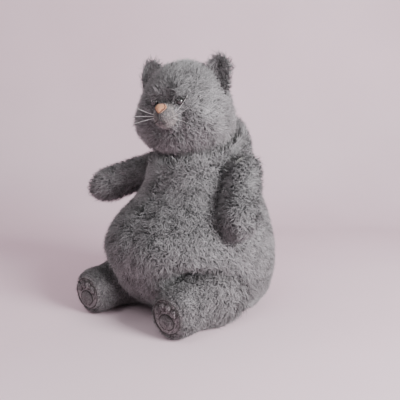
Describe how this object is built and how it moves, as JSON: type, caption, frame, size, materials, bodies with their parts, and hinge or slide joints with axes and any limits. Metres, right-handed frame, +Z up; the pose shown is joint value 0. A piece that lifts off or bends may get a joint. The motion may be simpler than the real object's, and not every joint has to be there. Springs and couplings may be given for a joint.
{
  "type": "plush cat",
  "caption": "Sitting plush cat with a round belly, curly grey fur, small ears, black eyes and a stitched nose; head, arms, legs and tail turn in their sewn roots.",
  "frame": {"origin": "on the floor at the middle of the torso's flat base, between the arms", "axes": "+Z up along the sitting cat, -Y forward as the body faces, +X to the cat's own left"},
  "size_m": [0.2922, 0.3221, 0.3428],
  "materials": {
    "fur": "curly long-pile plush, mid grey",
    "muzzle_fur": "short curly plush, lighter grey",
    "ear_lining": "short plush, dark grey",
    "sole": "short-pile plush, mauve grey",
    "pads": "short-pile applique, darker mauve grey",
    "nose": "satin stitch, pink-orange",
    "thread": "dark embroidery thread",
    "stuffing": "polyester fibre",
    "beads": "bag of plastic pellets",
    "eye": "glossy black safety eye",
    "washer": "white lock washer",
    "whisker": "stiff white nylon bristle"
  },
  "bodies": {
    "torso": {"base_panel": "fur", "belly_panel_left": "fur", "belly_panel_right": "fur", "back_panel_left": "fur", "back_panel_right": "fur", "torso_fill": "stuffing", "pellet_bag": "beads"},
    "neck": {"neck_fill": "stuffing"},
    "head": {"forehead_gusset": "fur", "chin_panel": "fur", "nape_gusset": "fur", "muzzle_panel": "muzzle_fur", "nose": "nose", "mouth_stitch": "thread", "head_fill": "stuffing", "left_cheek_panel": "fur", "left_head_back_panel": "fur", "left_ear_back": "fur", "left_ear_lining": "ear_lining", "left_eye": "eye", "left_eye_washer": "washer", "left_whisker_1": "whisker", "left_whisker_2": "whisker", "left_whisker_3": "whisker", "right_cheek_panel": "fur", "right_head_back_panel": "fur", "right_ear_back": "fur", "right_ear_lining": "ear_lining", "right_eye": "eye", "right_eye_washer": "washer", "right_whisker_1": "whisker", "right_whisker_2": "whisker", "right_whisker_3": "whisker"},
    "tail": {"tail_panel": "fur", "tail_fill": "stuffing"},
    "left_shoulder": {"left_shoulder_fill": "stuffing"},
    "left_arm": {"left_arm_panel_a": "fur", "left_arm_panel_b": "fur", "left_arm_fill": "stuffing"},
    "left_leg": {"left_leg_panel_a": "fur", "left_leg_panel_b": "fur", "left_sole": "sole", "left_heel_pad": "pads", "left_toe_pads": "pads", "left_leg_fill": "stuffing"},
    "right_shoulder": {"right_shoulder_fill": "stuffing"},
    "right_arm": {"right_arm_panel_a": "fur", "right_arm_panel_b": "fur", "right_arm_fill": "stuffing"},
    "right_leg": {"right_leg_panel_a": "fur", "right_leg_panel_b": "fur", "right_sole": "sole", "right_heel_pad": "pads", "right_toe_pads": "pads", "right_leg_fill": "stuffing"}
  },
  "joints": [
    {"name": "head_turn", "type": "hinge", "parent": "torso", "child": "neck", "pos_m": [0, -0.02, 0.27], "axis": [0, 0, 1], "range_deg": [-35, 30]},
    {"name": "head_nod", "type": "hinge", "parent": "neck", "child": "head", "pos_m": [0, -0.02, 0.27], "axis": [0.9744, 0.225, 0], "range_deg": [-12, 12]},
    {"name": "tail_swing", "type": "hinge", "parent": "torso", "child": "tail", "pos_m": [-0.004, 0.104, 0.018], "axis": [0, 0, 1], "range_deg": [-36, 4]},
    {"name": "left_arm_swing", "type": "hinge", "parent": "torso", "child": "left_shoulder", "pos_m": [0.08, 0.004, 0.192], "axis": [1, 0, 0], "range_deg": [-80, 0]},
    {"name": "left_arm_spread", "type": "hinge", "parent": "left_shoulder", "child": "left_arm", "pos_m": [0.08, 0.004, 0.192], "axis": [0, 1, 0], "range_deg": [-45, 0]},
    {"name": "left_leg_lift", "type": "hinge", "parent": "torso", "child": "left_leg", "pos_m": [0.072, -0.048, 0.036], "axis": [1, 0, 0], "range_deg": [-14, 0]},
    {"name": "right_arm_swing", "type": "hinge", "parent": "torso", "child": "right_shoulder", "pos_m": [-0.08, 0.004, 0.192], "axis": [1, 0, 0], "range_deg": [-70, 10]},
    {"name": "right_arm_spread", "type": "hinge", "parent": "right_shoulder", "child": "right_arm", "pos_m": [-0.08, 0.004, 0.192], "axis": [0, 1, 0], "range_deg": [0, 45]},
    {"name": "right_leg_lift", "type": "hinge", "parent": "torso", "child": "right_leg", "pos_m": [-0.072, -0.048, 0.036], "axis": [1, 0, 0], "range_deg": [-14, 0]}
  ]
}
